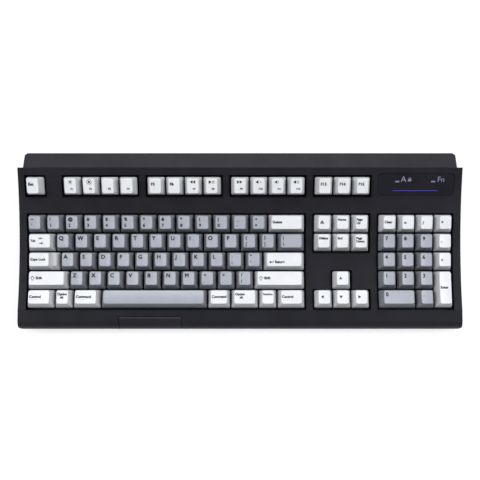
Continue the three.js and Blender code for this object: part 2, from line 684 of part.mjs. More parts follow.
// A flap with a rounded pivot end, a taper to its tip and a pin on each side.
function footSolid(x) {
  const r = FOOT_THICK / 2;
  const tipY = FOOT_PIVOT_Y - r + FOOT_LENGTH;
  const outline = new THREE.Shape();
  outline.moveTo(FOOT_PIVOT_Y, FOOT_PIVOT_Z + r);
  outline.absarc(FOOT_PIVOT_Y, FOOT_PIVOT_Z, r, Math.PI / 2, 1.5 * Math.PI, false);
  outline.lineTo(tipY - FOOT_BEVEL, FOOT_PIVOT_Z - r);
  outline.lineTo(tipY, FOOT_PIVOT_Z - r + FOOT_BEVEL);
  outline.lineTo(tipY, FOOT_PIVOT_Z + r - FOOT_BEVEL);
  outline.lineTo(tipY - FOOT_BEVEL, FOOT_PIVOT_Z + r);
  const flap = sideExtrusion(outline, x - FOOT_HALF, x + FOOT_HALF);
  const pins = axleAcross(
    x - FOOT_HALF - PIN_REACH, x + FOOT_HALF + PIN_REACH, FOOT_PIVOT_Y, FOOT_PIVOT_Z, PIN_RADIUS);
  const relief = boxSolid(
    x - FOOT_HALF + FOOT_RIM, x + FOOT_HALF - FOOT_RIM, FOOT_PIVOT_Y + FOOT_RIM, tipY - FOOT_RIM,
    FOOT_PIVOT_Z + FOOT_WEB_Z, FOOT_PIVOT_Z + r + OVERRUN);
  return flap.add(pins).subtract(relief);
}

function padGeometry(halfX, halfY) {
  const lowX = halfX - PAD_TAPER;
  const lowY = halfY - PAD_TAPER;
  const outline = rectangle(2 * lowX, 2 * lowY, PAD_CORNER);
  const pad = taperedBlock(outline, FLOOR_Z - GAP, halfX / lowX, halfY / lowY, 0);
  pad.translate(0, 0, FLOOR_Z - GAP);
  return solidOf(pad);
}

// Pan-head screw with a cross recess in the head.
function screwSolid(x) {
  const head = FLOOR_Z + FLOOR_THICK;
  const body = post(x, SCREW_Y, FLOOR_Z + SCREW_HEAD_RECESS, head, SCREW_HEAD).add(
    post(x, SCREW_Y, head - ROOT, SCREW_TOP, SCREW_RADIUS));
  const a = CROSS_LENGTH / 2;
  const b = CROSS_WIDTH / 2;
  const along = boxSolid(x - a, x + a, SCREW_Y - b, SCREW_Y + b, FLOOR_Z, FLOOR_Z + CROSS_DEPTH);
  const across = boxSolid(x - b, x + b, SCREW_Y - a, SCREW_Y + a, FLOOR_Z, FLOOR_Z + CROSS_DEPTH);
  return body.subtract(along.add(across));
}

// A rubber block that fills the rear cut-out, with a flange inside the wall.
function cableGland() {
  const y0 = rear - GLAND_DEPTH;
  const y1 = rear - GLAND_SETBACK;
  const [z0, z1] = INLET_Z;
  const body = boxSolid(INLET_X - INLET_HALF + GAP, INLET_X + INLET_HALF - GAP, y0, y1, z0 + GAP, z1 - GAP);
  const side = INLET_HALF + FLANGE_SIDE;
  const flange = boxSolid(
    INLET_X - side, INLET_X + side, y0, rear - WALL - 2 * GAP, z0 - FLANGE_RISE, z1 + FLANGE_RISE);
  return body.add(flange);
}

function controllerBoard() {
  const [x0, x1] = BOARD_X;
  const [y0, y1] = BOARD_Y;
  const board = boxSolid(x0, x1, y0, y1, BOARD_Z, BOARD_Z + BOARD_THICK);
  const blocks = Object.values(BOARD_BLOCKS).map(([left, right, low, high, height]) => boxSolid(
    x0 + left, x0 + right, y0 + low, y0 + high, BOARD_Z + BOARD_THICK - ROOT, BOARD_Z + height));
  return join([board, ...blocks]);
}

// ---------- Assembly ----------
const keyboard = new THREE.Group();

function addPart(name, solid, material, matrix) {
  const mesh = new THREE.Mesh(geometryOf(solid), material);
  mesh.name = name;
  if (matrix) matrix.decompose(mesh.position, mesh.quaternion, mesh.scale);
  keyboard.add(mesh);
}

addPart('top_cover', topCover(), blackPlastic);
addPart('bottom_cover', bottomCover(), blackPlastic);
addPart('front_blank_plate', frontBlankPlate(), blackPlastic);
addPart('indicator_panel', indicatorPanel(), insetPlastic);
addPart('indicator_board', indicatorBoard(), boardGreen);
addPart('barrel_plate', barrelPlate(), blackPlastic);
const membraneHalf = sheetHalf - MEMBRANE_INSET;
const membrane = arcSheet(MEMBRANE_DROP, MEMBRANE_THICK, -membraneHalf, membraneHalf);
addPart('switch_membrane', membrane, sheetPlastic);
addPart('steel_backplate', arcSheet(BACKPLATE_DROP, BACKPLATE_THICK, -sheetHalf, sheetHalf), bareSteel);
addPart('controller_board', controllerBoard(), boardGreen);
addPart('cable_gland', cableGland(), softRubber);
addPart('space_bar_wire', spaceBarWire(), bareSteel, rowMatrix(ROW.bottom, spaceBarX));
addPart('foot_left', footSolid(-FOOT_X), blackPlastic);
addPart('foot_right', footSolid(FOOT_X), blackPlastic);
PADS.forEach(([name, x, y, halfX, halfY]) => {
  addPart(name, padGeometry(halfX, halfY).translate(x, y, 0), softRubber);
});
['screw_left', 'screw_middle', 'screw_right'].forEach((name, i) => {
  addPart(name, screwSolid(SCREW_X[i]), bareSteel);
});
KEYS.forEach((entry) => {
  const [name, rowName, , , material, length = 1] = entry;
  const solid = name === 'key_space' ? spaceBarSolid(entry) : keySolid(entry);
  addPart(name, solid, material, rowMatrix(rowOf(rowName, length)));
});

export default keyboard;
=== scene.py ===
import json
import math

import bpy
from mathutils import Matrix, Vector


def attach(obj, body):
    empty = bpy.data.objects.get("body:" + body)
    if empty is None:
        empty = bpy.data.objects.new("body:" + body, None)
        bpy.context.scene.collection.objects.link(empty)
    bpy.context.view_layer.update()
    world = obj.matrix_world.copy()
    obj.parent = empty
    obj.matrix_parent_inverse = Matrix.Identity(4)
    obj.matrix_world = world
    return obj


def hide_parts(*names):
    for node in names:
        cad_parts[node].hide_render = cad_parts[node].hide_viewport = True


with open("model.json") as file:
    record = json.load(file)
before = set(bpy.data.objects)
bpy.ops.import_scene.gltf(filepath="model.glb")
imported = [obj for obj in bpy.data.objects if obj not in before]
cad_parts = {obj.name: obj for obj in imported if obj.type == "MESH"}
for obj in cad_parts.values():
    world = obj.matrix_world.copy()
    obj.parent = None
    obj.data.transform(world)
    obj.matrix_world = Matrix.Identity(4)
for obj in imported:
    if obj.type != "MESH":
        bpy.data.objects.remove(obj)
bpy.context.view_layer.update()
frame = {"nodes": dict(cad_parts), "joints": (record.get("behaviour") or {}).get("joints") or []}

# ---------- Driving dimensions, in metres unless a comment says otherwise ----------
MM = 0.001

# Keycaps
UNIT = 19.05 * MM
CAP_GAP = 0.75 * MM
CAP_HEIGHT = 10 * MM
CAP_WALL = 1.3 * MM
CAP_ROOF = 1.6 * MM
TOP_INSET = 3.05 * MM
TOP_DEPTH = 14.1 * MM
FUNCTION_TOP_DEPTH = 15.9 * MM
REAR_RUN = 0.2 * MM
DISH = 0.75 * MM
CROWN = 1.3 * DISH
EDGE_ROUND = 0.75 * MM
BASE_CORNER = 1.6 * MM
TOP_CORNER = 2.1 * MM
SIDE_BULGE = 0.12 * MM
FOOT_TUCK = 0.25 * MM
GRID_PITCH = 2.6 * MM
FEWEST_CELLS = 4
NEAR_CORNER = 0.4  # where the line inside a corner lies, as a share of the corner
INNER_CORNER = 0.5  # the hollow's corner radius, as a share of the outer one
RIM_ANGLES = (30, 60, 85)  # degrees round the rim from the top
SIDE_SHARES = (0.15, 0.4, 0.7, 0.96, 1.0)  # rings down the side, as shares of its height

# The stepped key: its raised part in key units, where its step starts, and the step's height
STEP_UNITS = 1.42
STEP_START = 1.1
STEP_HEIGHT = 6.4 * MM

# Legends
INK_LIFT = 0.05 * MM
LEGEND_MARGIN = 1.7 * MM
LARGE_TEXT = 4.2 * MM
LARGE_SPREAD = 0.075  # extra stroke width, as a share of the letters' size
SMALL_SPREAD = 0.095
RAY_HALF = 0.06  # in the unit square of an icon
RAY_GAP = 0.1

# Indicator panel: its depth below the escape key's top. The marks' sizes and places are in millimetres.
PANEL_DROP = 8.2 * MM
PRINT_LIFT = 0.05 * MM
LETTER_SIZE, LETTER_X = 8.6, 164.2
PADLOCK_SIZE, PADLOCK_X, PADLOCK_Y = 5.5, 170.6, 4.4
WORD_SIZE, WORD_X = 7.8, 201.6
TEXT_Y = 4.2
LAMP_X = (160.8, 197.6)
LAMP_Y = 4.6
LAMP_HALF = (2.1, 0.7)
PANEL_LINE = (156.5, -5.0, 202.5, -4.3)

# Painted light on the case, by depth: a paler rear shelf as painted light, and a painted highlight along the
# blank plate's rear edge
SHELF_LIGHT_START = 72.5 * MM
SHELF_LIGHT_FULL = 74.5 * MM
PLATE_HIGHLIGHT_START = -80.2 * MM
PLATE_HIGHLIGHT_FULL = -78.6 * MM

# Floor, lights and camera. Angles are in degrees, and a light's spread is its width.
FLOOR_SIZE = 40.0
FLOOR_GLOW = 1.3
SIDE_LIGHT = (1.15, 0.2, 1.15)
SIDE_STRENGTH = 1.68
SIDE_SPREAD = 30
REAR_LIGHT = (0.0, 1.0, 1.3)
REAR_STRENGTH = 1.35
REAR_SPREAD = 34
SKY = [
    (0.0, (0.90, 0.90, 0.91, 1)), (0.16, (0.80, 0.81, 0.82, 1)), (0.42, (0.30, 0.31, 0.33, 1)),
    (0.6, (0.055, 0.06, 0.075, 1))]
VIEW_ELEVATION = 85
VIEW_DISTANCE = 0.563
VIEW_TARGET = Vector((0, 0, 0.036))
LENS = 41.6  # millimetres
SENSOR = 36  # millimetres


def add_object(name, verts, faces, materials, face_materials=None, smooth=True):
    mesh = bpy.data.meshes.new(name)
    mesh.from_pydata([tuple(v) for v in verts], [], faces)
    for material in materials:
        mesh.materials.append(material)
    for i, face in enumerate(mesh.polygons):
        face.use_smooth = smooth
        if face_materials:
            face.material_index = face_materials[i]
    mesh.update()
    piece = bpy.data.objects.new(name, mesh)
    bpy.context.scene.collection.objects.link(piece)
    return piece


# ---------- Materials ----------
def new_material(name):
    material = bpy.data.materials.new(name)
    material.use_nodes = True
    tree = material.node_tree
    shader = tree.nodes["Principled BSDF"]
    return material, tree, shader


def noise(tree, scale, detail=3.0, distortion=0.0):
    coords = tree.nodes.new("ShaderNodeTexCoord")
    texture = tree.nodes.new("ShaderNodeTexNoise")
    texture.inputs["Scale"].default_value = scale
    texture.inputs["Detail"].default_value = detail
    texture.inputs["Distortion"].default_value = distortion
    tree.links.new(coords.outputs["Object"], texture.inputs["Vector"])
    return texture.outputs["Fac"]


def ramp(tree, factor, stops):
    node = tree.nodes.new("ShaderNodeValToRGB")
    node.color_ramp.elements[0].position = stops[0][0]
    node.color_ramp.elements[0].color = stops[0][1]
    node.color_ramp.elements[1].position = stops[-1][0]
    node.color_ramp.elements[1].color = stops[-1][1]
    for position, color in stops[1:-1]:
        element = node.color_ramp.elements.new(position)
        element.color = color
    tree.links.new(factor, node.inputs["Fac"])
    return node.outputs["Color"]


def span(tree, factor, low, high):
    node = tree.nodes.new("ShaderNodeMapRange")
    node.inputs["To Min"].default_value = low
    node.inputs["To Max"].default_value = high
    tree.links.new(factor, node.inputs["Value"])
    return node.outputs["Result"]


def bump(tree, shader, height, strength, distance):
    node = tree.nodes.new("ShaderNodeBump")
    node.inputs["Strength"].default_value = strength
    node.inputs["Distance"].default_value = distance
    tree.links.new(height, node.inputs["Height"])
    tree.links.new(node.outputs["Normal"], shader.inputs["Normal"])


def grey(value, blue=1.0):
    return (value, value, value * blue, 1.0)


def tinted(value, tint):
    return (value * tint[0], value * tint[1], value * tint[2], 1.0)


def mixed(tree, blend, factor, first, second):
    node = tree.nodes.new("ShaderNodeMix")
    node.data_type = "RGBA"
    node.blend_type = blend
    node.inputs["Factor"].default_value = factor
    tree.links.new(first, node.inputs["A"])
    tree.links.new(second, node.inputs["B"])
    return node.outputs["Result"]


def moulded_plastic(name, low, high, rough, grain_scale, grain_depth, blue=1.05):
    """Plastic with a spark-eroded grain, faint patches of colour and uneven roughness."""
    material, tree, shader = new_material(name)
    patches = noise(tree, 35, 4)
    grain = noise(tree, grain_scale, 2)
    tone = ramp(tree, patches, [(0.3, grey(low, blue)), (0.7, grey(high, blue))])
    tree.links.new(tone, shader.inputs["Base Color"])
    tree.links.new(span(tree, noise(tree, 90, 5), rough - 0.08, rough + 0.08), shader.inputs["Roughness"])
    shader.inputs["IOR"].default_value = 1.5
    shader.inputs["Specular IOR Level"].default_value = 0.14
    bump(tree, shader, grain, 0.5, grain_depth)
    return material


def keycap_plastic(name, low, high, tint, painted_side_shade):
    """Fine-grained cap plastic. A point attribute is 1 on the polished top, which is less rough, and 0 on
    the sides, whose colour is darkened by the side factor as painted shade.
    """
    material, tree, shader = new_material(name)
    polish_and_shade = tree.nodes.new("ShaderNodeAttribute")
    polish_and_shade.attribute_name = "polish_and_shade"
    patches = ramp(tree, noise(tree, 60, 4), [(0.3, tinted(low, tint)), (0.7, tinted(high, tint))])
    specks = ramp(tree, noise(tree, 900, 2), [(0.35, tinted(low * 0.8, tint)), (0.65, tinted(high, tint))])
    # Painted shade: the sides' colour is darkened down to the side factor, standing in for the shade on the
    # caps' sides and fronts.
    tone = span(tree, polish_and_shade.outputs["Fac"], painted_side_shade, 1.0)
    grained = mixed(tree, "MIX", 0.12, patches, specks)
    tree.links.new(mixed(tree, "MULTIPLY", 1.0, grained, tone), shader.inputs["Base Color"])
    rough = tree.nodes.new("ShaderNodeMath")
    rough.operation = "SUBTRACT"
    tree.links.new(span(tree, noise(tree, 140, 4), 0.46, 0.62), rough.inputs[0])
    tree.links.new(span(tree, polish_and_shade.outputs["Fac"], 0.0, 0.14), rough.inputs[1])
    tree.links.new(rough.outputs["Value"], shader.inputs["Roughness"])
    shader.inputs["IOR"].default_value = 1.5
    bump(tree, shader, noise(tree, 2600, 2), 0.35, 0.00004)
    return material


def ink(name, color):
    material, tree, shader = new_material(name)
    low = (color[0] * 0.7, color[1] * 0.7, color[2] * 0.7, 1)
    tone = ramp(tree, noise(tree, 700, 2), [(0.3, low), (0.7, (*color, 1))])
    tree.links.new(tone, shader.inputs["Base Color"])
    shader.inputs["Roughness"].default_value = 0.55
    return material


def metal(name, color, rough):
    material, tree, shader = new_material(name)
    shader.inputs["Metallic"].default_value = 1.0
    tone = ramp(tree, noise(tree, 120, 5), [(0.3, grey(color * 0.8)), (0.7, grey(color))])
    tree.links.new(tone, shader.inputs["Base Color"])
    tree.links.new(span(tree, noise(tree, 500, 4, 2), rough, rough + 0.2), shader.inputs["Roughness"])
    bump(tree, shader, noise(tree, 1500, 3), 0.2, 0.00003)
    return material


def rubber(name):
    material, tree, shader = new_material(name)
    tone = ramp(tree, noise(tree, 200, 4), [(0.3, grey(0.010)), (0.7, grey(0.022))])
    tree.links.new(tone, shader.inputs["Base Color"])
    tree.links.new(span(tree, noise(tree, 300, 3), 0.75, 0.95), shader.inputs["Roughness"])
    bump(tree, shader, noise(tree, 1800, 3), 0.5, 0.00008)
    return material


def solder_resist(name):
    material, tree, shader = new_material(name)
    tone = ramp(tree, noise(tree, 260, 6), [(0.42, (0.012, 0.07, 0.035, 1)), (0.6, (0.03, 0.16, 0.08, 1))])
    tree.links.new(tone, shader.inputs["Base Color"])
    shader.inputs["Roughness"].default_value = 0.3
    bump(tree, shader, noise(tree, 400, 3), 0.3, 0.0001)
    return material


def film(name):
    material, tree, shader = new_material(name)
    tone = ramp(tree, noise(tree, 80, 5), [(0.3, (0.40, 0.38, 0.30, 1)), (0.7, (0.55, 0.53, 0.44, 1))])
    tree.links.new(tone, shader.inputs["Base Color"])
    shader.inputs["Roughness"].default_value = 0.35
    bump(tree, shader, noise(tree, 300, 2), 0.2, 0.00005)
    return material


def paint_light_beyond(material, start, full, tone):
    """Paints light on a plastic: makes it paler towards the rear. The change starts at one depth and is full
    at another.
    """
    tree = material.node_tree
    base = tree.nodes["Principled BSDF"].inputs["Base Color"]
    coords = tree.nodes.new("ShaderNodeTexCoord")
    split = tree.nodes.new("ShaderNodeSeparateXYZ")
    tree.links.new(coords.outputs["Object"], split.inputs["Vector"])
    change = tree.nodes.new("ShaderNodeMapRange")
    change.inputs["From Min"].default_value = start
    change.inputs["From Max"].default_value = full
    change.inputs["To Min"].default_value = 1.0
    change.inputs["To Max"].default_value = tone
    tree.links.new(split.outputs["Y"], change.inputs["Value"])
    tree.links.new(mixed(tree, "MULTIPLY", 1.0, base.links[0].from_socket, change.outputs["Result"]), base)


CASE = moulded_plastic(
    "case_plastic", low=0.0132, high=0.0176, rough=0.44, grain_scale=1500, grain_depth=0.00009, blue=1.3)
# Painted light: the rear shelf is made paler, standing in for the light it catches from the rear.
paint_light_beyond(CASE, SHELF_LIGHT_START, SHELF_LIGHT_FULL, tone=1.35)
PLATE = moulded_plastic(
    "plate_plastic", low=0.0138, high=0.0184, rough=0.44, grain_scale=1500, grain_depth=0.00009, blue=1.3)
# Painted highlight: a bright strip along the blank plate's rear edge, standing in for the light that edge
# catches.
paint_light_beyond(PLATE, PLATE_HIGHLIGHT_START, PLATE_HIGHLIGHT_FULL, tone=3.4)
PANEL = moulded_plastic(
    "panel_plastic", low=0.0108, high=0.0145, rough=0.38, grain_scale=2500, grain_depth=0.00003, blue=1.35)
INNER = moulded_plastic(
    "inner_plastic", low=0.0060, high=0.0095, rough=0.60, grain_scale=900, grain_depth=0.00008)
# The side factor paints shade on the caps' sides: they are darker than the tops because of how the light
# falls, not because of the plastic.
WHITE = keycap_plastic("white_keycap", low=0.72, high=0.785, tint=(0.97, 0.985, 1.02), painted_side_shade=0.70)
GREY = keycap_plastic("grey_keycap", low=0.36, high=0.402, tint=(0.96, 1.0, 1.13), painted_side_shade=0.50)
BLACK_INK = ink("legend_black", (0.012, 0.012, 0.014))
PALE_INK = ink("legend_pale", (0.26, 0.25, 0.42))
BLUE_INK = ink("legend_blue", (0.05, 0.04, 0.40))
STEEL = metal("bare_steel", 0.55, 0.30)
RUBBER = rubber("soft_rubber")
BOARD = solder_resist("circuit_board")
FILM = film("membrane_film")


# ---------- Rows, read from the frame ----------
axis_of = {joint["child"]: joint["axis"] for joint in frame["joints"] if joint["type"] == "slide"}


class KeyFrame:
    """A key run's own frame: x across, y up the slope, z along the normal, with 0 at the key tops."""

    def __init__(self, node):
        down = axis_of[node]
        self.turn = Matrix.Rotation(math.atan2(down[1], -down[2]), 4, "X")
        back = self.turn.inverted()
        corners = [back @ v.co for v in frame["nodes"][node].data.vertices]
        self.left = min(c.x for c in corners) - CAP_GAP / 2
        self.right = max(c.x for c in corners) + CAP_GAP / 2
        self.depth = max(c.y for c in corners) - min(c.y for c in corners)
        middle = (max(c.y for c in corners) + min(c.y for c in corners)) / 2
        self.place = self.turn @ Matrix.Translation((0, middle, max(c.z for c in corners)))


# ---------- Keycap shape ----------
def spaced(half, corner, inner):
    """Grid lines from -half to half: two close to each corner, the rest even."""
    near = corner * NEAR_CORNER
    lines = [-half, -half + near, -half + corner]
    width = 2 * (half - corner)
    lines += [-half + corner + width * i / inner for i in range(1, inner)]
    return lines + [half - corner, half - near, half]


def rounded(x, y, half_x, half_y, corner):
    """Pulls a point on a rectangle's edge in to its rounded corner."""
    dx = abs(x) - (half_x - corner)
    dy = abs(y) - (half_y - corner)
    if dx <= 0 or dy <= 0:
        return x, y
    length = math.hypot(dx, dy)
    new_x = half_x - corner + dx / length * corner
    new_y = half_y - corner + dy / length * corner
    return math.copysign(new_x, x), math.copysign(new_y, y)


class CapShape:
    """Builds one cap: a dished top, a rounded rim, sloping sides and a hollow underside."""

    def __init__(self, width, depth, top_depth, convex=False):
        self.half_x = width / 2
        self.half_y = depth / 2
        self.top_x = self.half_x - TOP_INSET
        self.top_y = top_depth / 2
        self.shift = (depth - top_depth) / 2 - REAR_RUN
        self.convex = convex
        self.nx = max(FEWEST_CELLS, round(2 * self.top_x / GRID_PITCH))
        self.ny = max(FEWEST_CELLS, round(2 * self.top_y / GRID_PITCH))
        self.verts = []
        self.faces = []
        self.top_count = 0

    def surface(self, x, y):
        """The height of the top's flat facets, which bridge the hollow between two grid lines."""
        if self.convex:
            return self.dish(x, y)
        lines = spaced(self.top_x - EDGE_ROUND, TOP_CORNER - EDGE_ROUND, self.nx)
        for low, high in zip(lines, lines[1:]):
            if low <= x <= high:
                share = (x - low) / (high - low)
                return self.grid_height(low) * (1 - share) + self.grid_height(high) * share
        return self.dish(x, y)

    def grid_height(self, x):
        return self.dish(x * self.top_x / (self.top_x - EDGE_ROUND), 0)

    def dish(self, x, y):
        if self.convex:
            return -CROWN * (y / self.top_y) ** 2
        across = min(abs(x) / self.top_x, 1)
        return -DISH * (1 - across * across)

    def loop_points(self, half_x, half_y, corner):
        xs = spaced(half_x, corner, self.nx)
        ys = spaced(half_y, corner, self.ny)
        points = [(x, -half_y) for x in xs]
        points += [(half_x, y) for y in ys[1:]]
        points += [(x, half_y) for x in reversed(xs[:-1])]
        points += [(-half_x, y) for y in reversed(ys[1:-1])]
        return [rounded(x, y, half_x, half_y, corner) for x, y in points]

    def add_loop(self, half_x, half_y, corner, shift, z, dish_share):
        start = len(self.verts)
        points = self.loop_points(half_x, half_y, corner)
        for x, y in points:
            scale_x = self.top_x / half_x
            scale_y = self.top_y / half_y
            lift = self.dish(x * scale_x, y * scale_y) * dish_share
            self.verts.append(Vector((x, y + shift, z + lift)))
        return list(range(start, start + len(points)))

    def bridge(self, upper, lower):
        count = len(upper)
        for i in range(count):
            j = (i + 1) % count
            self.faces.append((upper[i], lower[i], lower[j], upper[j]))

    def add_grid(self, half_x, half_y, corner, shift, z, dish_share, upward):
        """A filled grid with a rounded outline. Returns its outline in the order of add_loop."""
        xs = spaced(half_x, corner, self.nx)
        ys = spaced(half_y, corner, self.ny)
        rows = []
        for j, y in enumerate(ys):
            row = []
            for i, x in enumerate(xs):
                edge = i in (0, len(xs) - 1) or j in (0, len(ys) - 1)
                px, py = rounded(x, y, half_x, half_y, corner) if edge else (x, y)
                lift = self.dish(px * self.top_x / half_x, py * self.top_y / half_y) * dish_share
                row.append(len(self.verts))
                self.verts.append(Vector((px, py + shift, z + lift)))
            rows.append(row)
        for j in range(len(ys) - 1):
            for i in range(len(xs) - 1):
                quad = (rows[j][i], rows[j][i + 1], rows[j + 1][i + 1], rows[j + 1][i])
                self.faces.append(quad if upward else tuple(reversed(quad)))
        outline = rows[0] + [row[-1] for row in rows[1:]]
        outline += list(reversed(rows[-1][:-1])) + [row[0] for row in reversed(rows[1:-1])]
        return outline

    def build(self):
        r = EDGE_ROUND
        outline = self.add_grid(self.top_x - r, self.top_y - r, TOP_CORNER - r, self.shift, 0, 1, True)
        self.top_count = len(self.verts)
        for angle in RIM_ANGLES:
            out = r * math.sin(math.radians(angle))
            drop = r * (1 - math.cos(math.radians(angle)))
            ring = self.add_loop(
                self.top_x - r + out, self.top_y - r + out, TOP_CORNER - r + out, self.shift, -drop, 1)
            self.bridge(outline, ring)
            outline = ring
        for share in SIDE_SHARES:
            bulge = SIDE_BULGE * math.sin(math.pi * share)
            tuck = FOOT_TUCK if share == 1.0 else 0
            ring = self.add_loop(
                self.top_x + (self.half_x - self.top_x) * share + bulge - tuck,
                self.top_y + (self.half_y - self.top_y) * share + bulge - tuck,
                TOP_CORNER + (BASE_CORNER - TOP_CORNER) * share,
                self.shift * (1 - share),
                -r + (r - CAP_HEIGHT) * share,
                1 - share)
            self.bridge(outline, ring)
            outline = ring
        w = CAP_WALL
        inner = self.add_loop(
            self.half_x - w, self.half_y - w, BASE_CORNER * INNER_CORNER, 0, -CAP_HEIGHT, 0)
        self.bridge(outline, inner)
        roof = self.add_grid(
            self.top_x - w, self.top_y - w, TOP_CORNER * INNER_CORNER, self.shift, -CAP_ROOF, 0, False)
        self.bridge(inner, roof)
        return self


# ---------- Legends ----------
def text_mesh(text, size):
    """Letter shapes of a given size as vertices and faces around their own left baseline corner."""
    curve = bpy.data.curves.new("letters", "FONT")
    curve.body = text
    curve.size = size
    curve.resolution_u = 3
    holder = bpy.data.objects.new("letters", curve)
    bpy.context.scene.collection.objects.link(holder)
    bpy.context.view_layer.update()
    mesh = bpy.data.meshes.new_from_object(holder.evaluated_get(bpy.context.evaluated_depsgraph_get()))
    verts = [v.co.copy() for v in mesh.vertices]
    faces = [tuple(f.vertices) for f in mesh.polygons]
    bpy.data.objects.remove(holder)
    bpy.data.meshes.remove(mesh)
    bpy.data.curves.remove(curve)
    return verts, faces


def bold_text(text, size):
    """Heavy lettering: the same letters printed four times, a stroke's extra width apart."""
    verts, faces = text_mesh(text, size)
    spread = size * (LARGE_SPREAD if size > LARGE_TEXT else SMALL_SPREAD)
    bold_verts = []
    bold_faces = []
    for dx, dy in ((0, 0), (spread, 0), (0, spread), (spread, spread)):
        start = len(bold_verts)
        bold_verts += [v + Vector((dx, dy, 0)) for v in verts]
        bold_faces += [tuple(start + i for i in face) for face in faces]
    return bold_verts, bold_faces


def shape_mesh(outlines, size):
    """Flat icon outlines, drawn in a unit square, as vertices and faces."""
    verts = []
    faces = []
    for outline in outlines:
        start = len(verts)
        verts += [Vector((x * size, y * size, 0)) for x, y in outline]
        faces.append(tuple(range(start, start + len(outline))))
    return verts, faces


def bar(x0, y0, x1, y1):
    return [(x0, y0), (x1, y0), (x1, y1), (x0, y1)]


def right_triangle(x, width=0.45, height=0.6):
    return [(x, 0.5 - height / 2), (x + width, 0.5), (x, 0.5 + height / 2)]


def left_triangle(x, width=0.45, height=0.6):
    return [(x + width, 0.5 - height / 2), (x + width, 0.5 + height / 2), (x, 0.5)]


def arc_band(cx, cy, radius, thick, start, end, steps=6):
    """Quads along a thin arc, angles in degrees."""
    quads = []
    for i in range(steps):
        a = math.radians(start + (end - start) * i / steps)
        b = math.radians(start + (end - start) * (i + 1) / steps)
        outer = radius + thick
        quads.append([
            (cx + radius * math.cos(a), cy + radius * math.sin(a)),
            (cx + outer * math.cos(a), cy + outer * math.sin(a)),
            (cx + outer * math.cos(b), cy + outer * math.sin(b)),
            (cx + radius * math.cos(b), cy + radius * math.sin(b))])
    return quads


def sun(radius, length):
    """A disc with eight rays."""
    rays = []
    for i in range(8):
        a = math.tau * i / 8
        along = Vector((math.cos(a), math.sin(a)))
        side = Vector((-along.y, along.x)) * RAY_HALF
        near = Vector((0.5, 0.5)) + along * (radius + RAY_GAP)
        far = near + along * length
        rays.append([tuple(near - side), tuple(far - side), tuple(far + side), tuple(near + side)])
    return rays + arc_band(0.5, 0.5, 0, radius, 0, 360, 16)


def hollow(points, share):
    """A closed outline drawn as a band, between the points and the same points drawn in to the middle."""
    middle = Vector((sum(x for x, y in points), sum(y for x, y in points))) / len(points)
    inner = [tuple(middle + (Vector(point) - middle) * share) for point in points]
    count = len(points)
    return [[points[i], points[(i + 1) % count], inner[(i + 1) % count], inner[i]] for i in range(count)]


SHIFT_ARROW = [(0.3, 0.08), (0.7, 0.08), (0.7, 0.5), (0.95, 0.5), (0.5, 1.0), (0.05, 0.5), (0.3, 0.5)]
SPEAKER = [bar(0.0, 0.38, 0.16, 0.62), [(0.16, 0.38), (0.42, 0.15), (0.42, 0.85), (0.16, 0.62)]]
LEFT_ARROW = [left_triangle(0.0, 0.45, 0.6), bar(0.45, 0.42, 1.0, 0.58)]
RIGHT_ARROW = [right_triangle(0.55, 0.45, 0.6), bar(0.0, 0.42, 0.55, 0.58)]
ICONS = {
    "dim": sun(0.17, 0.1),
    "bright": sun(0.2, 0.2),
    "rewind": [left_triangle(0.0), left_triangle(0.45)],
    "forward": [right_triangle(0.0), right_triangle(0.45)],
    "play": [right_triangle(0.0, 0.5), bar(0.62, 0.25, 0.72, 0.75), bar(0.84, 0.25, 0.94, 0.75)],
    "mute": [*SPEAKER, bar(0.52, 0.46, 1.0, 0.54)],
    "quiet": [*SPEAKER, *arc_band(0.42, 0.5, 0.2, 0.07, -50, 50)],
    "loud": [*SPEAKER, *arc_band(0.42, 0.5, 0.2, 0.07, -50, 50), *arc_band(0.42, 0.5, 0.42, 0.07, -45, 45)],
    "eject": [[(0.1, 0.4), (0.9, 0.4), (0.5, 0.9)], bar(0.1, 0.18, 0.9, 0.3)],
    "left": [left_triangle(0.2, 0.6, 0.7)],
    "right": [right_triangle(0.2, 0.6, 0.7)],
    "up": [[(0.15, 0.25), (0.85, 0.25), (0.5, 0.85)]],
    "down": [[(0.15, 0.75), (0.5, 0.15), (0.85, 0.75)]],
    "arrow_left": LEFT_ARROW,
    "arrow_right": RIGHT_ARROW,
    "tab_left": [*LEFT_ARROW, bar(-0.1, 0.25, -0.02, 0.75)],
    "tab_right": [*RIGHT_ARROW, bar(1.02, 0.25, 1.1, 0.75)],
    "bent": [*LEFT_ARROW, bar(0.92, 0.5, 1.0, 0.95)],
    "shift": hollow(SHIFT_ARROW, 0.68),
    "erase": [*RIGHT_ARROW, bar(1.05, 0.2, 1.13, 0.8)],
    "lock": [bar(0.2, 0.1, 0.8, 0.5), *arc_band(0.5, 0.5, 0.18, 0.08, 0, 180)],
}


# For each kind of legend, each mark's anchors, its offsets from them and its size, in millimetres.
LAYOUT = {
    "none": [],
    "letter": [("left", 0, "top", -6.2, 5.6)],
    "digit": [("left", 0.4, "top", -6.4, 5.4)],
    "pair": [("left", 0.3, "top", -5.4, 4.6), ("left", 0.3, "bottom", 2.4, 4.6)],
    "word": [("left", -0.7, "middle", -1.0, 3.6)],
    "high": [("left", -0.8, "top", -5.4, 3.4), ("left", -0.8, "top", -8.6, 3.4)],
    "low": [("middle", -0.4, "bottom", 3.8, 2.9)],
    "media": [("middle", -3.0, "middle", 0.9, 6.0), ("middle", -0.2, "bottom", 3.8, 2.7)],
    "small": [("left", -0.9, "top", -5.2, 2.8)],
    "fkey": [("left", -0.1, "middle", 0.2, 4.1)],
    "icon": [("left", 0, "middle", -2.3, 5.0)],
    "tab": [("left", -0.4, "middle", -0.9, 3.2), ("left", 8.2, "middle", 0.7, 4.0),
            ("left", 8.2, "middle", -4.2, 4.0)],
    "low_icon_word": [("left", 0.8, "middle", -4.8, 4.6), ("left", 6.6, "middle", -3.6, 3.5)],
    "icon_word": [("left", -0.5, "middle", -2.4, 5.0), ("left", 5.0, "middle", -1.0, 3.6)],
}


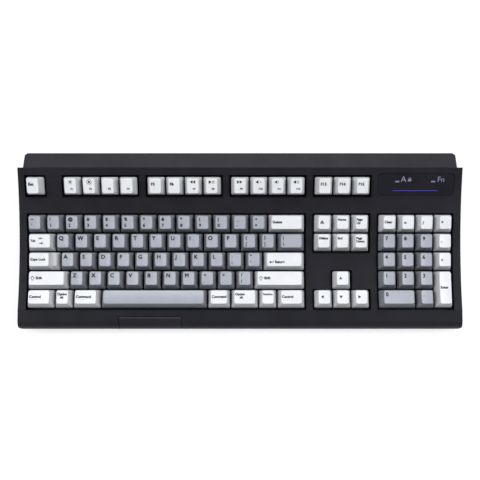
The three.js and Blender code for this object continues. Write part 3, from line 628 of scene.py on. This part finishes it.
def legend_parts(label, cap):
    """The label's marks: text or icon name, x and y of the lower left corner from the top's centre, size."""
    anchors_x = {"left": -cap.top_x + LEGEND_MARGIN, "middle": 0}
    anchors_y = {"top": cap.top_y, "middle": 0, "bottom": -cap.top_y}
    kind, *marks = label
    parts = []
    for mark, (anchor_x, dx, anchor_y, dy, size) in zip(marks, LAYOUT[kind]):
        parts.append((mark, anchors_x[anchor_x] + dx * MM, anchors_y[anchor_y] + dy * MM, size * MM))
    return parts


def add_legend(cap, label, face_materials):
    for mark, x, y, size in legend_parts(label, cap):
        verts, faces = shape_mesh(ICONS[mark], size) if mark in ICONS else bold_text(mark, size)
        start = len(cap.verts)
        for v in verts:
            px, py = v.x + x, v.y + y
            cap.verts.append(Vector((px, py + cap.shift, cap.surface(px, py) + INK_LIFT)))
        cap.faces += [tuple(start + i for i in face) for face in faces]
        face_materials += [1] * len(faces)


# ---------- Keys: node, cap widths in units, labels ----------
def pairs(text):
    return [("pair", upper, lower) for upper, lower in text.split()]


def letters(text):
    return [("letter", letter) for letter in text]


WIDE_LAST = [1, 1, 1, 1, 1, 1, 1.5]
KEYS = {
    "key_escape": ([1], [("fkey", "Esc")]),
    "keys_f1_to_f4": ([1] * 4, [
        ("media", "dim", "F1"), ("media", "bright", "F2"), ("low", "F3"), ("low", "F4")]),
    "keys_f5_to_f8": ([1] * 4, [
        ("fkey", "F5"), ("fkey", "F6"), ("media", "rewind", "F7"), ("media", "play", "F8")]),
    "keys_f9_to_f12": ([1] * 4, [
        ("media", "forward", "F9"), ("media", "mute", "F10"),
        ("media", "quiet", "F11"), ("media", "loud", "F12")]),
    "keys_f13_to_f15": ([1] * 3, [("fkey", "F13"), ("fkey", "F14"), ("fkey", "F15")]),
    "keys_number_left": ([1] * 7, pairs("~` !1 @2 #3 $4 %5 ^6")),
    "keys_number_right": ([1] * 6, pairs("&7 *8 (9 )0 _- +=")),
    "key_delete": ([2], [("word", "Delete")]),
    "keys_nav_upper": ([1] * 3, [("icon", "eject"), ("high", "Home"), ("high", "Page", "Up")]),
    "keys_pad_top": ([1] * 4, [("word", "Clear"), ("icon", "="), ("icon", "/"), ("icon", "*")]),
    "key_tab": ([1.5], [("tab", "Tab", "tab_left", "tab_right")]),
    "keys_upper_left": ([1] * 6, letters("QWERTY")),
    "keys_upper_right": (WIDE_LAST, [*letters("UIOP"), *pairs("{[ }] |\\")]),
    "keys_nav_lower": ([1] * 3, [("high", "Delete"), ("high", "End"), ("high", "Page", "Down")]),
    "keys_pad_789": ([1] * 4, [("digit", "7"), ("digit", "8"), ("digit", "9"), ("icon", "-")]),
    "key_caps_lock": ([1.75], [("word", "Caps Lock")]),
    "keys_home_left": ([1] * 6, letters("ASDFGH")),
    "keys_home_right": ([1] * 5, [*letters("JKL"), *pairs(":; \"'")]),
    "key_return": ([2.25], [("low_icon_word", "bent", "Return")]),
    "keys_pad_456": ([1] * 4, [("digit", "4"), ("digit", "5"), ("digit", "6"), ("icon", "+")]),
    "key_shift_left": ([2.25], [("icon_word", "shift", "Shift")]),
    "keys_lower_left": ([1] * 5, letters("ZXCVB")),
    "keys_lower_right": ([1] * 5, [*letters("NM"), *pairs("<, >. ?/")]),
    "key_shift_right": ([2.75], [("icon_word", "shift", "Shift")]),
    "key_arrow_up": ([1], [("icon", "up")]),
    "keys_pad_123": ([1] * 3, [("digit", "1"), ("digit", "2"), ("digit", "3")]),
    "key_control_left": ([1.5], [("word", "Control")]),
    "key_option_left": ([1], [("high", "Option", "   alt")]),
    "key_command_left": ([1.5], [("word", "Command")]),
    "key_space": ([5.75], [("none",)]),
    "key_command_right": ([1.25], [("word", "Command")]),
    "key_option_right": ([1.5], [("high", "Option", "     alt")]),
    "key_function": ([1], [("small", "Function")]),
    "key_control_right": ([1.5], [("word", "Control")]),
    "key_arrow_left": ([1], [("icon", "left")]),
    "key_arrow_down": ([1], [("icon", "down")]),
    "key_arrow_right": ([1], [("icon", "right")]),
    "key_pad_zero": ([2], [("digit", "0")]),
    "key_pad_point": ([1], [("digit", ".")]),
    "key_pad_enter": ([1], [("word", "Enter")]),
}
GREY_NODES = {
    "keys_number_left", "keys_number_right", "keys_upper_left", "keys_upper_right", "keys_pad_789",
    "keys_home_left", "keys_home_right", "keys_pad_456", "keys_lower_left", "keys_lower_right",
    "keys_pad_123", "key_space", "key_pad_zero", "key_pad_point",
}
WHITE_ENDS = {"keys_pad_789", "keys_pad_456"}
TWO_ROWS = "key_pad_enter"
STEP_KEY = "key_caps_lock"


def mark_polish_and_shade(piece, cap):
    """1 on the top surface, fading to 0 down the sides. It sets where the top is polished and where the
    sides get painted shade.
    """
    attribute = piece.data.attributes.new("polish_and_shade", "FLOAT", "POINT")
    values = [1.0 if i < cap.top_count else 0.0 for i in range(len(cap.verts))]
    attribute.data.foreach_set("value", values)


def is_function_row(node):
    return node == "key_escape" or node.startswith("keys_f")


def lower_step(cap, width, depth, raised, face_materials):
    """Adds the low shelf to the right of a stepped key's raised part."""
    step_width = width - STEP_START * UNIT
    low = CapShape(step_width, depth, TOP_DEPTH).build()
    start = len(cap.verts)
    shift = width - raised / 2 - step_width / 2
    for v in low.verts:
        z = -CAP_HEIGHT + (min(v.z, -DISH) + CAP_HEIGHT) * STEP_HEIGHT / CAP_HEIGHT
        cap.verts.append(Vector((v.x + shift, v.y, z)))
    cap.faces += [tuple(start + i for i in face) for face in low.faces]
    face_materials += [0] * len(low.faces)


def make_keys():
    for node, (widths, labels) in KEYS.items():
        key_frame = KeyFrame(node)
        top_depth = FUNCTION_TOP_DEPTH if is_function_row(node) else TOP_DEPTH
        if node == TWO_ROWS:
            top_depth += UNIT
        edge = key_frame.left
        for i, units in enumerate(widths):
            width = units * UNIT - CAP_GAP
            raised = STEP_UNITS * UNIT - CAP_GAP if node == STEP_KEY else width
            cap = CapShape(raised, key_frame.depth, top_depth, node == "key_space").build()
            face_materials = [0] * len(cap.faces)
            add_legend(cap, labels[i], face_materials)
            if node == STEP_KEY:
                lower_step(cap, width, key_frame.depth, raised, face_materials)
            grey_cap = node in GREY_NODES and not (node in WHITE_ENDS and i == len(widths) - 1)
            place = key_frame.place @ Matrix.Translation((edge + CAP_GAP / 2 + raised / 2, 0, 0))
            verts = [place @ v for v in cap.verts]
            name = f"{node}_cap_{i + 1}" if len(widths) > 1 else f"{node}_cap"
            plastic = GREY if grey_cap else WHITE
            piece = add_object(name, verts, cap.faces, [plastic, BLACK_INK], face_materials)
            mark_polish_and_shade(piece, cap)
            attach(piece, node)
            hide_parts(node)
            edge += units * UNIT


make_keys()


# ---------- Indicator panel: printed marks and lamps ----------
def flat_piece(name, parts, place, material, body):
    """Flat marks joined into one piece. Each part is a list of vertices, faces, x and y."""
    verts = []
    faces = []
    for part_verts, part_faces, x, y in parts:
        start = len(verts)
        verts += [place @ Vector((v.x + x, v.y + y, 0)) for v in part_verts]
        faces += [tuple(start + i for i in face) for face in part_faces]
    piece = add_object(name, verts, faces, [material], smooth=False)
    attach(piece, body)
    return piece


def panel_bar(x0, y0, x1, y1):
    """A flat bar, its corners in millimetres, as a part for flat_piece."""
    corners = [Vector((x * MM, y * MM, 0)) for x, y in bar(x0, y0, x1, y1)]
    return corners, [(0, 1, 2, 3)], 0, 0


def make_panel_marks():
    row = KeyFrame("key_escape").place
    face = row @ Matrix.Translation((0, 0, -PANEL_DROP + PRINT_LIFT))
    pale = [
        (*text_mesh("A", LETTER_SIZE * MM), LETTER_X * MM, TEXT_Y * MM),
        (*shape_mesh(ICONS["lock"], PADLOCK_SIZE * MM), PADLOCK_X * MM, PADLOCK_Y * MM),
        (*text_mesh("Fn", WORD_SIZE * MM), WORD_X * MM, TEXT_Y * MM)]
    half_x, half_y = LAMP_HALF
    for x in LAMP_X:
        pale.append(panel_bar(x - half_x, LAMP_Y - half_y, x + half_x, LAMP_Y + half_y))
    flat_piece("indicator_panel_marks", pale, face, PALE_INK, "case")
    flat_piece("indicator_panel_line", [panel_bar(*PANEL_LINE)], face, BLUE_INK, "case")


make_panel_marks()

# ---------- CAD nodes that keep their shape ----------
NODE_MATERIALS = {
    "top_cover": CASE, "bottom_cover": CASE, "front_blank_plate": PLATE,
    "foot_left": CASE, "foot_right": CASE,
    "indicator_panel": PANEL, "indicator_board": BOARD, "controller_board": BOARD, "barrel_plate": INNER,
    "switch_membrane": FILM, "steel_backplate": STEEL, "space_bar_wire": STEEL, "cable_gland": RUBBER,
    "screw_left": STEEL, "screw_middle": STEEL, "screw_right": STEEL,
    "pad_front_left": RUBBER, "pad_front_right": RUBBER, "pad_rear_left": RUBBER, "pad_rear_right": RUBBER,
}
# Bevel widths in millimetres.
EDGE_BEVELS = {
    "top_cover": 0.6, "bottom_cover": 0.6, "front_blank_plate": 0.5, "foot_left": 0.5, "foot_right": 0.5,
    "indicator_panel": 0.15, "cable_gland": 0.3, "space_bar_wire": 0.35,
    "pad_front_left": 0.4, "pad_front_right": 0.4, "pad_rear_left": 0.4, "pad_rear_right": 0.4,
}


def soften(body, width):
    """Rounds a CAD node's edges and shades its curved faces smoothly."""
    bevel = body.modifiers.new("edges", "BEVEL")
    bevel.width = width * MM
    bevel.segments = 2
    bevel.limit_method = "ANGLE"
    bevel.angle_limit = math.radians(35)
    bevel.harden_normals = True
    for face in body.data.polygons:
        face.use_smooth = True


for node, material in NODE_MATERIALS.items():
    body = frame["nodes"][node]
    body.data.materials.clear()
    body.data.materials.append(material)
    if node in EDGE_BEVELS:
        soften(body, EDGE_BEVELS[node])


# ---------- Floor, light and camera ----------
def make_floor():
    """A pale sheet that glows a little, like a light table."""
    h = FLOOR_SIZE / 2
    material, tree, shader = new_material("floor_paper")
    tone = ramp(tree, noise(tree, 6, 4), [(0.3, grey(0.45)), (0.7, grey(0.47))])
    tree.links.new(tone, shader.inputs["Base Color"])
    tree.links.new(tone, shader.inputs["Emission Color"])
    shader.inputs["Emission Strength"].default_value = FLOOR_GLOW
    shader.inputs["Roughness"].default_value = 0.8
    corners = [(-h, -h, 0), (h, -h, 0), (h, h, 0), (-h, h, 0)]
    floor = add_object("floor", corners, [(0, 1, 2, 3)], [material])


def soft_sun(name, toward, strength, spread):
    """A distant light as wide as a large soft box. It comes from the direction given."""
    light = bpy.data.lights.new(name, "SUN")
    light.energy = strength
    light.angle = math.radians(spread)
    holder = bpy.data.objects.new(name, light)
    holder.location = toward
    holder.rotation_euler = Vector(toward).to_track_quat("Z", "Y").to_euler()
    bpy.context.scene.collection.objects.link(holder)


def make_camera():
    data = bpy.data.cameras.new("camera")
    data.lens = LENS
    data.sensor_width = SENSOR
    data.clip_start = 0.01
    camera = bpy.data.objects.new("camera", data)
    tilt = math.radians(VIEW_ELEVATION)
    camera.location = VIEW_TARGET + Vector((0, -math.cos(tilt), math.sin(tilt))) * VIEW_DISTANCE
    camera.rotation_euler = (math.radians(90 - VIEW_ELEVATION), 0, 0)
    bpy.context.scene.collection.objects.link(camera)
    bpy.context.scene.camera = camera


def make_light():
    side, back, up = SIDE_LIGHT
    soft_sun("left_light", (-side, back, up), SIDE_STRENGTH, SIDE_SPREAD)
    soft_sun("right_light", (side, back, up), SIDE_STRENGTH, SIDE_SPREAD)
    soft_sun("rear_light", REAR_LIGHT, REAR_STRENGTH, REAR_SPREAD)
    world = bpy.data.worlds.new("world")
    world.use_nodes = True
    tree = world.node_tree
    coords = tree.nodes.new("ShaderNodeTexCoord")
    split = tree.nodes.new("ShaderNodeSeparateXYZ")
    tree.links.new(coords.outputs["Generated"], split.inputs["Vector"])
    sky = ramp(tree, split.outputs["Z"], SKY)
    tree.links.new(sky, tree.nodes["Background"].inputs["Color"])
    tree.nodes["Background"].inputs["Strength"].default_value = 1.0
    bpy.context.scene.world = world
    bpy.context.scene.view_settings.view_transform = "Standard"


make_floor()
make_light()
make_camera()
